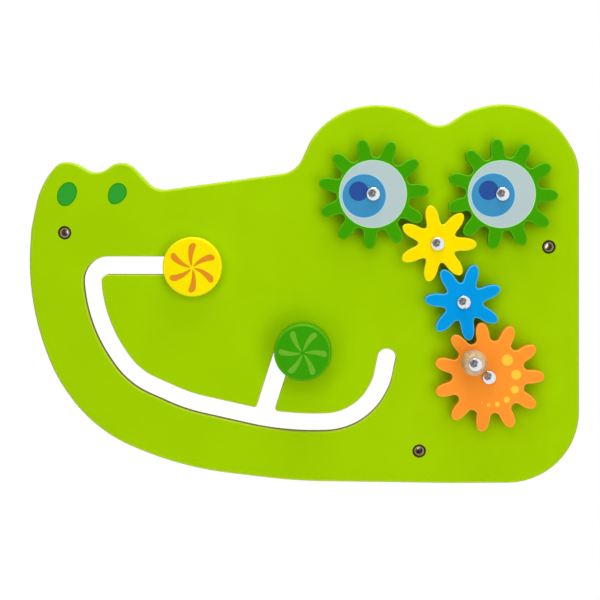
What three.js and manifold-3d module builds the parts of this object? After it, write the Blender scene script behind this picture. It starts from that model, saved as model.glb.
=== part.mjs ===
// A wooden wall activity panel cut to a crocodile's head. Two toothed eyes, three more toothed wheels
// and a crank knob turn together on its front, and two discs are pushed along a smile-shaped slot.
// Millimetres. +X is right, +Z is up, and the front faces -Y. The wall is the plane Y = 0, and the
// origin lies on it, behind the middle of the panel.
// Outlines are drawn as seen from the front, as (x, height), and depths are measured from the wall.

import * as THREE from 'three';
import { mergeVertices } from 'three/addons/utils/BufferGeometryUtils.js';
import Module from 'manifold-3d';

const wasm = await Module();
wasm.setup();

// Panel
const panelWidth = 502;
const panelHeight = 345;
const panelThickness = 12;
const panelEdgeRadius = 2.5;
const panelEdgeSteps = 2;
const wallGap = 20;

// Corners of the panel's outline, from the lower right corner to the left along the jaw, over the
// snout and the brow: [share of width, share of height, radius as a share of height]
const panelCornerShares = [
  [0.5010, -0.4984, 0.1894],
  [0.2657, -0.5011, 0.7607],
  [-0.0160, -0.4971, 1.4558],
  [-0.2225, -0.4623, 0.8999],
  [-0.3826, -0.3648, 0.3891],
  [-0.4539, -0.2198, 0.4281],
  [-0.5059, -0.0158, 0.6761],
  [-0.4961, 0.1740, 0.1226],
  [-0.4787, 0.2914, 0.2075],
  [-0.442, 0.353, 0.041],
  [-0.412, 0.345, 0.078],
  [-0.374, 0.310, 0.052],
  [-0.3287, 0.365, 0.048],
  [-0.2687, 0.273, 0.057],
  [-0.014, 0.324, 0.070],
  [0.013, 0.411, 0.128],
  [0.059, 0.488, 0.195],
  [0.1287, 0.4993, 0.033],
  [0.182, 0.494, 0.199],
  [0.2426, 0.433, 0.059],
  [0.294, 0.483, 0.134],
  [0.3503, 0.5052, 0.1899],
  [0.4418, 0.4823, 0.1905],
  [0.4951, 0.3572, 0.1405],
];

// Slot: its middle line from under the yellow disc, round the jaw, to the open right end, as
// [share of width, share of height, share of height that a bend's radius has over the tightest one]
const slotWidth = 16.6;
const slotPathShares = [
  [-0.187, 0.0762, 0],
  [-0.3875, 0.0762, 0.0117],
  [-0.3793, -0.078, 0.3567],
  [-0.3108, -0.2214, 0.1657],
  [-0.2112, -0.2855, 0.3867],
  [-0.0311, -0.344, 0.7437],
  [0.1038, -0.336, 0.1277],
  [0.1416, -0.2293, 0.0877],
  [0.1502, -0.167, 0],
];
// Side branch of the slot: up from the smile, then level to the pocket where the green knob rests
const branchPathShares = [
  [-0.0735, -0.3177, 0],
  [-0.0357, -0.1443, 0.0007],
  [-0.0012, -0.1443, 0],
];
const slotMouthExtra = 0.5;
// Where the yellow disc rests along the slot's level stretch, as a share of the panel's width
const yellowRestShare = -0.2012;

// Wheels. A tooth is half a blunt ellipse on level flanks, its foot the start of the valley between
// two teeth. The shares are in modules, and an ellipse proper has a bluntness of 2
const toothModule = 8.13;
const wheelThickness = 10;
const wheelEdgeRadius = 1;
const wheelEdgeSteps = 1;
const largeWheel = {
  teeth: 11,
  tipShare: 6.13,
  rootShare: 4.06,
  widestShare: 4.6,
  footShare: 4.4,
  halfWidthShare: 0.755,
  bluntness: 2.3,
};
const smallWheel = {
  teeth: 7,
  tipShare: 4.317,
  rootShare: 2.17,
  widestShare: 2.85,
  footShare: 2.65,
  halfWidthShare: 0.74,
  bluntness: 2.05,
};
// How much further apart than their pitch circles two wheels stand, in modules
const eyeMeshShare = 0;
const middleMeshShare = 0.11;
const crankMeshShare = -0.18;
// How far a wheel has turned within its tooth play, as a share of one tooth's pitch
const yellowPlayShare = -0.044;
const leftEyePlayShare = -0.006;
const rightEyePlayShare = 0.045;
const yellowWheelShares = [0.240, 0.1371];
const eyeDirection = THREE.MathUtils.degToRad(37.7);
const blueDirection = THREE.MathUtils.degToRad(-65.7);
const orangeDirection = THREE.MathUtils.degToRad(-71.2);
const orangeToothAngle = THREE.MathUtils.degToRad(0.6);

// Axles
const pinRadius = 3;
const fitGap = 0.3;
const spacerRadius = 8;
const spacerThickness = 3.4;
const backWasherRadius = 9;
const backWasherThickness = 1.2;
const capRadius = 5.9;
const capHeight = 4.6;
const capRimHeight = 1.2;
const capBoreDepth = 3.2;

// Crank knob on the orange wheel
const crankRadius = 21;
const crankDirection = THREE.MathUtils.degToRad(134.6);
const crankWasherRadius = 8;
const crankWasherThickness = 1;
const crankPinHeadRadius = 6;
const crankPinHeadThickness = 1.5;
const knobHeight = 26;
const knobBaseRadius = 9.6;
const knobRadius = 11.4;
const knobTopRadius = 6.8;
const knobWidestShare = 0.62;
const knobEdge = 1;

// Discs that are pushed along the slot
const spindlePlay = 0.8;
const spindleSocketDepth = 6;
const sliderPlay = 0.6;
const backDiscRadius = 22;
const backDiscThickness = 7;
const backDiscEdge = 2;
const sliderWasherRadius = 10;
const sliderWasherThickness = 1.2;
const screwRadius = 2;
const screwLength = 15;
const screwPointLength = 3;
const screwHeadRadius = 4;
const screwHeadHeight = 2.4;
const yellowDisc = { radius: 27, thickness: 10, edge: 2 };
const greenDisc = { radius: 25.9, thickness: 24, edge: 2.3 };

// Wall posts: a turned foot behind the panel, and a spigot that fills the back of the panel's hole and
// narrows to a sleeve with a gap round it
const postShares = {
  snout_post: [-0.4351, 0.1626],
  brow_post: [0.4420, 0.1270],
  jaw_post: [0.2099, -0.4152],
};
const postRadius = 15;
const postEdge = 1;
const spigotRadius = 5.9;
const spigotSeat = 5;
const sleeveRadius = 4.5;
const sleeveRecess = 1.5;
const sleeveEdge = 0.3;
const postBoreRadius = 3.1;

// How finely round shapes are cut
const arcTolerance = 0.16;
const leastStep = 0.8;
const coarsestArcShare = 0.1;
const edgeUseShare = 0.99;
const flankSteps = 8;
const valleySteps = 6;
const discSegments = 28;
const roundSegments = 24;
const smallSegments = 16;
const edgeSteps = 3;
const cutOverrun = 2;
// A cubic curve between level ends reaches this share of its handles' length
const curveReachShare = 0.75;

// Depths from the wall
const panelBack = wallGap;
const panelFront = panelBack + panelThickness;
const wheelBack = panelFront + spacerThickness + fitGap;
const wheelFront = wheelBack + wheelThickness;

const colours = {
  lime: 0x9dcb00,
  leaf: 0x3a9a02,
  yellow: 0xfde000,
  blue: 0x049ae3,
  orange: 0xfc9630,
  beech: 0xdebc91,
  chrome: 0xd8dadc,
  steel: 0xb4b6b8,
};
const metals = ['chrome', 'steel'];
const materials = {};
for (const [name, colour] of Object.entries(colours)) {
  const metal = metals.includes(name);
  materials[name] = new THREE.MeshStandardMaterial({
    color: colour,
    roughness: metal ? 0.2 : 0.4,
    metalness: metal ? 1 : 0,
  });
}

// The assembly
const toy = new THREE.Group();

// A drawing seen from the front and raised towards the viewer is stood up: height becomes +Z
function standUp(geometry) {
  const place = geometry.attributes.position;
  for (let i = 0; i < place.count; i += 1) {
    place.setXYZ(i, place.getX(i), -place.getZ(i), place.getY(i));
  }
  return geometry;
}

// A turned shape's axis is laid along the depth, its far end towards the viewer
function layBack(geometry) {
  const place = geometry.attributes.position;
  for (let i = 0; i < place.count; i += 1) {
    place.setXYZ(i, place.getX(i), -place.getY(i), -place.getZ(i));
  }
  return geometry;
}

function addPiece(name, geometry, material, point, depth, turn = 0) {
  const mesh = new THREE.Mesh(geometry, materials[material]);
  mesh.name = name;
  mesh.position.set(point.x, -depth, point.y);
  mesh.rotation.y = -turn;
  toy.add(mesh);
}

// Turned pieces: profile points are [radius, depth] from the back to the front
function turned(profile, segments = smallSegments) {
  const points = profile.map(([radius, depth]) => new THREE.Vector2(radius, depth));
  return layBack(new THREE.LatheGeometry(points, segments));
}

function ring(inner, outer, thickness) {
  return turned([[inner, 0], [outer, 0], [outer, thickness], [inner, thickness], [inner, 0]]);
}

// Quarter round from angle start to angle end about a centre, as profile points
function quarter(centreRadius, centreDepth, reach, rise, start, end) {
  const points = [];
  for (let i = 0; i <= edgeSteps; i += 1) {
    const angle = start + (end - start) * i / edgeSteps;
    points.push([centreRadius + reach * Math.cos(angle), centreDepth + rise * Math.sin(angle)]);
  }
  return points;
}

function solid(geometry) {
  const bare = geometry.clone();
  bare.deleteAttribute('normal');
  bare.deleteAttribute('uv');
  const merged = mergeVertices(bare);
  const corners = merged.index.array;
  const triangles = [];
  for (let i = 0; i < corners.length; i += 3) {
    const [a, b, c] = corners.slice(i, i + 3);
    if (a !== b && b !== c && c !== a) {
      triangles.push(a, b, c);
    }
  }
  return new wasm.Manifold(new wasm.Mesh({
    numProp: 3,
    vertProperties: new Float32Array(merged.attributes.position.array),
    triVerts: new Uint32Array(triangles),
  }));
}

function geometryOf(manifold) {
  const mesh = manifold.getMesh();
  const geometry = new THREE.BufferGeometry();
  geometry.setAttribute('position', new THREE.BufferAttribute(mesh.vertProperties, 3));
  geometry.setIndex(new THREE.BufferAttribute(mesh.triVerts, 1));
  return geometry;
}

function shareOfPanel([x, y]) {
  return new THREE.Vector2(x * panelWidth, y * panelHeight);
}

// Arc that rounds one corner of a path: its points, and the direction of the path at each
function cornerArc(before, corner, after, radius) {
  const incoming = corner.clone().sub(before).normalize();
  const outgoing = after.clone().sub(corner).normalize();
  const turn = Math.atan2(incoming.cross(outgoing), incoming.dot(outgoing));
  const reach = radius * Math.tan(Math.abs(turn) / 2);
  const start = corner.clone().addScaledVector(incoming, -reach);
  const inward = new THREE.Vector2(-incoming.y, incoming.x).multiplyScalar(Math.sign(turn) * radius);
  const centre = start.clone().add(inward);
  const step = 2 * Math.acos(1 - Math.min(arcTolerance / radius, coarsestArcShare));
  const count = Math.max(2, Math.ceil(Math.abs(turn) / step));
  const steps = [];
  for (let i = 0; i <= count; i += 1) {
    const angle = turn * i / count;
    const along = incoming.clone().rotateAround(new THREE.Vector2(), angle);
    steps.push({ point: start.clone().rotateAround(centre, angle), along });
  }
  return steps;
}

// How far a corner's arc reaches along its two edges
function arcReach(before, corner, after, radius) {
  const incoming = corner.clone().sub(before);
  const outgoing = after.clone().sub(corner);
  const turn = Math.atan2(incoming.cross(outgoing), incoming.dot(outgoing));
  return radius * Math.tan(Math.abs(turn) / 2);
}

// Radii of a closed path's corners, drawn in where two arcs would share one stretch of an edge
function cornerRadii(corners, shares, tightest) {
  const count = corners.length;
  const radii = shares.map((share) => (share[2] > 0 ? tightest + share[2] * panelHeight : 0));
  const at = (list, i) => list[(i + count) % count];
  const reaches = corners.map((corner, i) => {
    return arcReach(at(corners, i - 1), corner, at(corners, i + 1), radii[i]);
  });
  const fits = corners.map((corner, i) => {
    const room = edgeUseShare * corner.distanceTo(at(corners, i + 1));
    const used = reaches[i] + at(reaches, i + 1);
    return used > room ? room / used : 1;
  });
  return radii.map((radius, i) => radius * Math.min(at(fits, i - 1), fits[i]));
}

// Steps of the slot's middle line, whose inner corners are rounded. At the tightest bend the slot's
// inner side is still as round as the panel's edge
function roundedPath(shares) {
  const corners = shares.map(shareOfPanel);
  const radii = cornerRadii(corners, shares, slotWidth / 2 + panelEdgeRadius);
  const last = corners.length - 1;
  const first = corners[1].clone().sub(corners[0]).normalize();
  const steps = [{ point: corners[0], along: first }];
  for (let i = 1; i < last; i += 1) {
    steps.push(...cornerArc(corners[i - 1], corners[i], corners[i + 1], radii[i]));
  }
  steps.push({ point: corners[last], along: steps[steps.length - 1].along });
  return steps;
}

function pointsOf(steps) {
  return steps.map((step) => step.point);
}

// Points of an outline, without those that lie closer to the one before than an arc's step
function spaced(points) {
  const kept = [];
  for (const point of points) {
    const neighbours = kept.length > 0 ? [kept[kept.length - 1], kept[0]] : [];
    if (neighbours.every((other) => other.distanceTo(point) >= leastStep)) {
      kept.push(point);
    }
  }
  return kept;
}

// Points of a closed outline whose corners are all rounded
function roundedOutline(shares) {
  const corners = shares.map(shareOfPanel);
  const radii = cornerRadii(corners, shares, 0);
  const count = corners.length;
  const points = [];
  for (let i = 0; i < count; i += 1) {
    const before = corners[(i + count - 1) % count];
    const after = corners[(i + 1) % count];
    points.push(...pointsOf(cornerArc(before, corners[i], after, radii[i])));
  }
  return spaced(points);
}

// The line that runs beside a path, to its left when the distance is positive
function beside(path, distance) {
  return path.map(({ point, along }) => {
    const left = new THREE.Vector2(-along.y, along.x);
    return point.clone().addScaledVector(left, distance);
  });
}

// Half circle round the end of a slot, from the right side to the left side as the path leaves it
function roundEnd(end, along, radius) {
  const right = end.clone().addScaledVector(new THREE.Vector2(along.y, -along.x), radius);
  const count = Math.ceil(Math.PI / (2 * Math.acos(1 - arcTolerance / radius)));
  const points = [];
  for (let i = 1; i < count; i += 1) {
    points.push(right.clone().rotateAround(end, Math.PI * i / count));
  }
  return points;
}

// Where a line of points crosses the straight line through a point along a direction
function crossing(points, origin, direction) {
  const side = (point) => direction.cross(point.clone().sub(origin));
  for (let i = 0; i < points.length - 1; i += 1) {
    const here = side(points[i]);
    const there = side(points[i + 1]);
    if (here * there <= 0) {
      const place = points[i].clone().lerp(points[i + 1], here / (here - there));
      return { index: i, place };
    }
  }
  return null;
}

// Outline of the slot with its side branch, round the whole opening
function slotOutline() {
  const half = slotWidth / 2;
  const main = roundedPath(slotPathShares);
  const branch = roundedPath(branchPathShares);
  const start = main[0];
  const end = main[main.length - 1];
  const pocket = branch[branch.length - 1];
  const outer = beside(main, -half);
  const inner = beside(main, half).reverse();
  const branchRight = beside(branch, -half);
  const branchLeft = beside(branch, half).reverse();
  const upward = branch[0].along;
  const right = crossing(inner, branchRight[0], upward);
  const left = crossing(inner, branchLeft[branchLeft.length - 1], upward);
  const mouthRadius = panelEdgeRadius + slotMouthExtra;
  const clear = 2 * mouthRadius;
  const before = inner.slice(0, right.index + 1).filter((p) => p.distanceTo(right.place) > clear);
  const after = inner.slice(left.index + 1).filter((p) => p.distanceTo(left.place) > clear);
  return spaced([
    ...outer,
    ...roundEnd(end.point, end.along, half),
    ...before,
    ...pointsOf(cornerArc(before[before.length - 1], right.place, branchRight[1], mouthRadius)),
    ...branchRight.slice(1),
    ...roundEnd(pocket.point, pocket.along, half),
    ...branchLeft.slice(0, -1),
    ...pointsOf(cornerArc(branchLeft[branchLeft.length - 2], left.place, after[0], mouthRadius)),
    ...after,
    ...roundEnd(start.point, start.along.clone().negate(), half),
  ]);
}

// Board of a given outline and thickness, its edges rounded off inside the outline
function board(outline, holes, thickness, edge, edgeSegments) {
  const shape = new THREE.Shape(outline);
  for (const hole of holes) {
    shape.holes.push(new THREE.Path(hole));
  }
  const geometry = new THREE.ExtrudeGeometry(shape, {
    depth: thickness - 2 * edge,
    bevelThickness: edge,
    bevelSize: edge,
    bevelOffset: -edge,
    bevelSegments: edgeSegments,
  });
  geometry.translate(0, 0, edge);
  return standUp(geometry);
}

// Plug that cuts a round hole through the panel
function panelPlug(point, radius) {
  const length = panelThickness + 2 * cutOverrun;
  const plug = turned([[0, 0], [radius, 0], [radius, length], [0, length]], roundSegments);
  plug.translate(point.x, cutOverrun, point.y);
  return solid(plug);
}

// Outline of a toothed wheel, its first tooth pointing right
function wheelOutline(wheel) {
  const tip = wheel.tipShare * toothModule;
  const root = wheel.rootShare * toothModule;
  const widest = wheel.widestShare * toothModule;
  const foot = wheel.footShare * toothModule;
  const halfWidth = wheel.halfWidthShare * toothModule;
  const power = 2 / wheel.bluntness;
  const run = [];
  for (let i = 0; i <= flankSteps; i += 1) {
    const angle = Math.PI * (i / flankSteps - 0.5);
    const along = Math.max(Math.cos(angle), 0) ** power;
    const across = Math.abs(Math.sin(angle)) ** power * Math.sign(angle);
    run.push(new THREE.Vector2(widest + (tip - widest) * along, halfWidth * across));
  }
  const halfPitch = Math.PI / wheel.teeth;
  const footReach = foot * Math.cos(halfPitch) + halfWidth * Math.sin(halfPitch);
  const inner = foot - (footReach - root) / (curveReachShare * Math.cos(halfPitch));
  const middle = new THREE.Vector2();
  const valley = new THREE.CubicBezierCurve(
    new THREE.Vector2(foot, halfWidth),
    new THREE.Vector2(inner, halfWidth),
    new THREE.Vector2(inner, -halfWidth).rotateAround(middle, 2 * halfPitch),
    new THREE.Vector2(foot, -halfWidth).rotateAround(middle, 2 * halfPitch),
  );
  run.push(...valley.getPoints(valleySteps));
  const points = [];
  for (let k = 0; k < wheel.teeth; k += 1) {
    points.push(...run.map((point) => point.clone().rotateAround(middle, 2 * halfPitch * k)));
  }
  return points;
}

function circle(radius, segments) {
  const points = [];
  for (let i = 0; i < segments; i += 1) {
    points.push(new THREE.Vector2(radius, 0).rotateAround(new THREE.Vector2(), 2 * Math.PI * i / segments));
  }
  return points;
}

function meshDistance(wheel, other, spreadShare) {
  return ((wheel.teeth + other.teeth) / 2 + spreadShare) * toothModule;
}

function from(point, distance, direction) {
  return new THREE.Vector2(distance, 0).rotateAround(new THREE.Vector2(), direction).add(point);
}

// Angle of a follower's tooth, so that its gap faces the driver's tooth, plus its play
function meshedAngle(driver, follower, playShare) {
  const towards = follower.place.clone().sub(driver.place).angle();
  const driverPitch = 2 * Math.PI / driver.form.teeth;
  const followerPitch = 2 * Math.PI / follower.form.teeth;
  const offset = (driver.angle - towards) / driverPitch;
  return towards + Math.PI + (0.5 + playShare - offset) * followerPitch;
}

// Places of the wheels: the eyes stand level, above and either side of the yellow wheel
const yellowPlace = shareOfPanel(yellowWheelShares);
const eyeReach = meshDistance(largeWheel, smallWheel, eyeMeshShare);
const bluePlace = from(yellowPlace, meshDistance(smallWheel, smallWheel, middleMeshShare), blueDirection);
const orangePlace = from(bluePlace, meshDistance(smallWheel, largeWheel, crankMeshShare), orangeDirection);

const orangeWheel = { name: 'orange', form: largeWheel, colour: 'orange', place: orangePlace };
const blueWheel = { name: 'blue', form: smallWheel, colour: 'blue', place: bluePlace };
const yellowWheel = { name: 'yellow', form: smallWheel, colour: 'yellow', place: yellowPlace };
const leftEye = {
  name: 'left_eye',
  form: largeWheel,
  colour: 'leaf',
  place: from(yellowPlace, eyeReach, Math.PI - eyeDirection),
};
const rightEye = {
  name: 'right_eye',
  form: largeWheel,
  colour: 'leaf',
  place: from(yellowPlace, eyeReach, eyeDirection),
};
orangeWheel.angle = orangeToothAngle;
blueWheel.angle = meshedAngle(orangeWheel, blueWheel, 0);
yellowWheel.angle = meshedAngle(blueWheel, yellowWheel, yellowPlayShare);
leftEye.angle = meshedAngle(yellowWheel, leftEye, leftEyePlayShare);
rightEye.angle = meshedAngle(yellowWheel, rightEye, rightEyePlayShare);
const wheels = [leftEye, rightEye, yellowWheel, blueWheel, orangeWheel];

// Panel with its slot, and round holes for the axles and the posts
function addPanel() {
  const outline = roundedOutline(panelCornerShares);
  const blank = board(outline, [slotOutline()], panelThickness, panelEdgeRadius, panelEdgeSteps);
  let cut = solid(blank);
  for (const wheel of wheels) {
    cut = cut.subtract(panelPlug(wheel.place, pinRadius + fitGap));
  }
  for (const shares of Object.values(postShares)) {
    cut = cut.subtract(panelPlug(shareOfPanel(shares), spigotRadius + fitGap));
  }
  addPiece('panel', geometryOf(cut), 'lime', new THREE.Vector2(), panelBack);
}

// Domed metal cap with a blind bore, pushed onto the end of a pin
function capGeometry() {
  const bore = pinRadius + fitGap;
  return turned([
    [0, capBoreDepth],
    [bore, capBoreDepth],
    [bore, 0],
    [capRadius, 0],
    ...quarter(0, capRimHeight, capRadius, capHeight - capRimHeight, 0, Math.PI / 2).slice(0, -1),
    [0, capHeight],
  ]);
}

// The same cap with its dome to the wall
function backCapGeometry() {
  const geometry = capGeometry();
  const place = geometry.attributes.position;
  for (let i = 0; i < place.count; i += 1) {
    place.setXYZ(i, -place.getX(i), -place.getY(i), place.getZ(i));
  }
  return geometry;
}

function rod(radius, length) {
  return turned([[0, 0], [radius, 0], [radius, length], [0, length]]);
}

// A wheel with its pin, the spacer behind it, and the washer and caps that keep the pin in
function addWheel(wheel) {
  const hole = circle(pinRadius + fitGap, smallSegments);
  const holes = [hole];
  if (wheel === orangeWheel) {
    const crankPlace = from(new THREE.Vector2(), crankRadius, crankDirection - wheel.angle);
    holes.push(hole.map((point) => point.clone().add(crankPlace)));
  }
  const blank = board(wheelOutline(wheel.form), [], wheelThickness, wheelEdgeRadius, wheelEdgeSteps);
  let cut = solid(blank);
  for (const bore of holes) {
    const shape = new THREE.Shape(bore);
    const plug = new THREE.ExtrudeGeometry(shape, {
      depth: wheelThickness + 2 * cutOverrun,
      bevelEnabled: false,
    });
    plug.translate(0, 0, -cutOverrun);
    cut = cut.subtract(solid(standUp(plug)));
  }
  const capDepth = wheelFront + fitGap;
  const pinBack = panelBack - backWasherThickness - capBoreDepth + fitGap;
  const pinFront = capDepth + capBoreDepth - fitGap;
  const { name, place } = wheel;
  addPiece(`${name}_gear`, geometryOf(cut), wheel.colour, place, wheelBack, wheel.angle);
  addPiece(`${name}_axle_pin`, rod(pinRadius, pinFront - pinBack), 'steel', place, pinBack);
  addPiece(`${name}_front_cap`, capGeometry(), 'chrome', place, capDepth);
  const spacer = ring(pinRadius + fitGap, spacerRadius, spacerThickness);
  addPiece(`${name}_spacer`, spacer, 'beech', place, panelFront);
  const washer = ring(pinRadius + fitGap, backWasherRadius, backWasherThickness);
  addPiece(`${name}_back_washer`, washer, 'steel', place, panelBack - backWasherThickness);
  addPiece(`${name}_back_cap`, backCapGeometry(), 'chrome', place, panelBack - backWasherThickness);
}

// Barrel-shaped crank knob that spins on a headed pin through the orange wheel
function addCrank() {
  const place = from(orangeWheel.place, crankRadius, crankDirection);
  const bore = pinRadius + fitGap;
  const knobBack = wheelFront + crankWasherThickness + fitGap;
  const knobFront = knobBack + knobHeight;
  const widest = knobHeight * knobWidestShare;
  const shoulder = knobHeight - widest;
  const knob = turned([
    [bore, 0],
    [knobBaseRadius - knobEdge, 0],
    [knobBaseRadius, knobEdge],
    [(knobBaseRadius + knobRadius) / 2, widest / 2],
    ...quarter(knobTopRadius, widest, knobRadius - knobTopRadius, shoulder, 0, Math.PI / 2),
    [bore, knobHeight],
    [bore, 0],
  ], roundSegments);
  const headBack = wheelBack - crankPinHeadThickness;
  const pinFront = knobFront + capBoreDepth;
  const pin = turned([
    [0, 0],
    [crankPinHeadRadius, 0],
    [crankPinHeadRadius, crankPinHeadThickness],
    [pinRadius, crankPinHeadThickness],
    [pinRadius, pinFront - headBack],
    [0, pinFront - headBack],
  ]);
  addPiece('crank_knob', knob, 'beech', place, knobBack);
  addPiece('crank_pin', pin, 'steel', place, headBack);
  addPiece('crank_washer', ring(bore, crankWasherRadius, crankWasherThickness), 'steel', place, wheelFront);
  addPiece('crank_cap', capGeometry(), 'chrome', place, knobFront + fitGap);
}

// A disc in front of the slot, on a spindle through it, held by a guide disc, washer and screw behind
function addSlider(name, disc, material, slotPlace) {
  const spindleRadius = slotWidth / 2 - spindlePlay;
  const place = slotPlace.clone().sub(new THREE.Vector2(0, spindlePlay - fitGap));
  const discBack = panelFront + sliderPlay;
  const guideBack = panelBack - sliderPlay - backDiscThickness;
  const spindleBack = guideBack - fitGap;
  const spindleFront = discBack + spindleSocketDepth - fitGap;
  const socket = spindleRadius + fitGap;
  const { radius, thickness, edge } = disc;
  const front = turned([
    [0, spindleSocketDepth],
    [socket, spindleSocketDepth],
    [socket, 0],
    ...quarter(radius - edge, edge, edge, edge, -Math.PI / 2, 0),
    ...quarter(radius - edge, thickness - edge, edge, edge, 0, Math.PI / 2),
    [0, thickness],
  ], discSegments);
  addPiece(`${name}_disc`, front, material, place, discBack);
  const pilot = screwRadius + fitGap;
  const pilotDepth = screwLength + fitGap;
  const length = spindleFront - spindleBack;
  const spindle = turned([
    [0, pilotDepth],
    [pilot, pilotDepth],
    [pilot, 0],
    [spindleRadius, 0],
    [spindleRadius, length],
    [0, length],
  ]);
  addPiece(`${name}_spindle`, spindle, 'beech', place, spindleBack);
  const guide = turned([
    [socket, 0],
    ...quarter(backDiscRadius - backDiscEdge, backDiscEdge, backDiscEdge, backDiscEdge, -Math.PI / 2, 0),
    [backDiscRadius, backDiscThickness - backDiscEdge],
    [backDiscRadius - backDiscEdge, backDiscThickness],
    [socket, backDiscThickness],
    [socket, 0],
  ], discSegments);
  addPiece(`${name}_guide_disc`, guide, 'beech', place, guideBack);
  const washerBack = spindleBack - sliderWasherThickness;
  const washer = ring(pilot, sliderWasherRadius, sliderWasherThickness);
  addPiece(`${name}_washer`, washer, 'steel', place, washerBack);
  const shank = sliderWasherThickness + screwLength - fitGap;
  const screw = turned([
    [0, 0],
    ...quarter(0, screwHeadHeight, screwHeadRadius, screwHeadHeight, -Math.PI / 3, 0),
    [screwRadius, screwHeadHeight],
    [screwRadius, screwHeadHeight + shank - screwPointLength],
    [0, screwHeadHeight + shank],
  ]);
  addPiece(`${name}_screw`, screw, 'steel', place, washerBack - screwHeadHeight);
}

// Turned wall post: foot against the wall, spigot in the panel, and a bore for the wall screw
function addPost(name, place) {
  const sleeveFront = panelFront - sleeveRecess;
  const post = turned([
    [postBoreRadius, 0],
    [postRadius - postEdge, 0],
    [postRadius, postEdge],
    [postRadius, panelBack],
    [spigotRadius, panelBack],
    [spigotRadius, panelBack + spigotSeat],
    [sleeveRadius, panelBack + spigotSeat],
    [sleeveRadius, sleeveFront - sleeveEdge],
    [sleeveRadius - sleeveEdge, sleeveFront],
    [postBoreRadius, sleeveFront],
    [postBoreRadius, 0],
  ], roundSegments);
  addPiece(name, post, 'beech', place, 0);
}

addPanel();
for (const wheel of wheels) {
  addWheel(wheel);
}
addCrank();
addSlider('yellow_slider', yellowDisc, 'yellow', shareOfPanel([yellowRestShare, slotPathShares[0][1]]));
addSlider('green_slider', greenDisc, 'leaf', shareOfPanel(branchPathShares[branchPathShares.length - 1]));
for (const [name, shares] of Object.entries(postShares)) {
  addPost(name, shareOfPanel(shares));
}

export default toy;
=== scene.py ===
import bpy
import numpy as np
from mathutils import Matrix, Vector
from mathutils.geometry import tessellate_polygon


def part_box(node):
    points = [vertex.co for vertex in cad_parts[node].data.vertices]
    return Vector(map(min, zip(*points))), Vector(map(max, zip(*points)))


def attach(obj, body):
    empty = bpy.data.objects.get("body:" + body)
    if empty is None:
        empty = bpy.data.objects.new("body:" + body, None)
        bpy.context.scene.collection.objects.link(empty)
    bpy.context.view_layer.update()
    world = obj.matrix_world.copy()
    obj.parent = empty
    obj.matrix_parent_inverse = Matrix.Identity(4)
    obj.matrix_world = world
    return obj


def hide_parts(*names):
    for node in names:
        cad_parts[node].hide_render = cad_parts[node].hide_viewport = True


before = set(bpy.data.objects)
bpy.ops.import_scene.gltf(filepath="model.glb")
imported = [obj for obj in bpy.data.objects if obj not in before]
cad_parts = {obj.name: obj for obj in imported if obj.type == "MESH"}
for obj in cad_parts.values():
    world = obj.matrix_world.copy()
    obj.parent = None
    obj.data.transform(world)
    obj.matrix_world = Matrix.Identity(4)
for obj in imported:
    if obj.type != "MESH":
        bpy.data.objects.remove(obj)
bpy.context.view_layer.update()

# The board. A sheet of fibreboard 12 mm thick is routed to the outline of a crocodile's head, its
# edges are rounded over, and it is lacquered lime green. The smile is cut right through, with a
# side branch and a rounded edge of its own, and two nostrils are printed on the snout.
MM = 0.001
BOARD_WIDTH = 502 * MM
BOARD_HEIGHT = 345 * MM
BOARD_SIZE = (BOARD_WIDTH, BOARD_HEIGHT)
BOARD_EDGE = 2.5 * MM
SLOT_WIDTH = 16.6 * MM
SLOT_EDGE = 1.6 * MM
SLOT_MOUTH = 3 * MM
HOLE_EDGE = 0.3 * MM
HOLE_PLAY = 0.3 * MM
ARC_STEPS = 14
EDGE_STEPS = 6
CLOSEST_POINTS = 0.01 * MM

# Corners of the outline: share of width, share of height, radius as a share of height
BOARD_CORNER_SHARES = np.array([
    (0.5010, -0.4984, 0.1894),
    (0.2657, -0.5011, 0.7607),
    (-0.0160, -0.4971, 1.4558),
    (-0.2225, -0.4623, 0.8999),
    (-0.3826, -0.3648, 0.3891),
    (-0.4539, -0.2198, 0.4281),
    (-0.5059, -0.0158, 0.6761),
    (-0.4961, 0.1740, 0.1226),
    (-0.4787, 0.2914, 0.2075),
    (-0.442, 0.353, 0.041),
    (-0.412, 0.345, 0.078),
    (-0.374, 0.310, 0.052),
    (-0.3287, 0.365, 0.048),
    (-0.2687, 0.273, 0.057),
    (-0.014, 0.324, 0.070),
    (0.013, 0.411, 0.128),
    (0.059, 0.488, 0.195),
    (0.1287, 0.4993, 0.033),
    (0.182, 0.494, 0.199),
    (0.2426, 0.433, 0.059),
    (0.294, 0.483, 0.134),
    (0.3503, 0.5050, 0.1899),
    (0.4418, 0.4823, 0.1905),
    (0.4951, 0.3572, 0.1405),
])
# The slot's middle line, and its branch: the same shares, the radius over the tightest bend's
SLOT_SHARES = np.array([
    (-0.187, 0.0762, 0),
    (-0.3875, 0.0762, 0.0117),
    (-0.3793, -0.078, 0.3567),
    (-0.3108, -0.2214, 0.1657),
    (-0.2112, -0.2855, 0.3867),
    (-0.0311, -0.344, 0.7437),
    (0.1038, -0.336, 0.1277),
    (0.1416, -0.2293, 0.0877),
    (0.1502, -0.167, 0),
])
BRANCH_SHARES = np.array([
    (-0.0735, -0.3177, 0),
    (-0.0357, -0.1443, 0.0007),
    (-0.0012, -0.1443, 0),
])
# Nostrils: middle, half length, half width and lean to the right of upright, and how egg-shaped
NOSTRILS = (
    ((-215.9 * MM, 91.4 * MM), 11.5 * MM, 8.6 * MM, np.radians(26), 0.02),
    ((-170.2 * MM, 91.7 * MM), 10.3 * MM, 8.1 * MM, np.radians(31), 0.12),
)


def turned_left(directions):
    """Directions turned a quarter turn to the left: (x, z) becomes (-z, x)."""
    return np.stack([-directions[..., 1], directions[..., 0]], -1)


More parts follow.
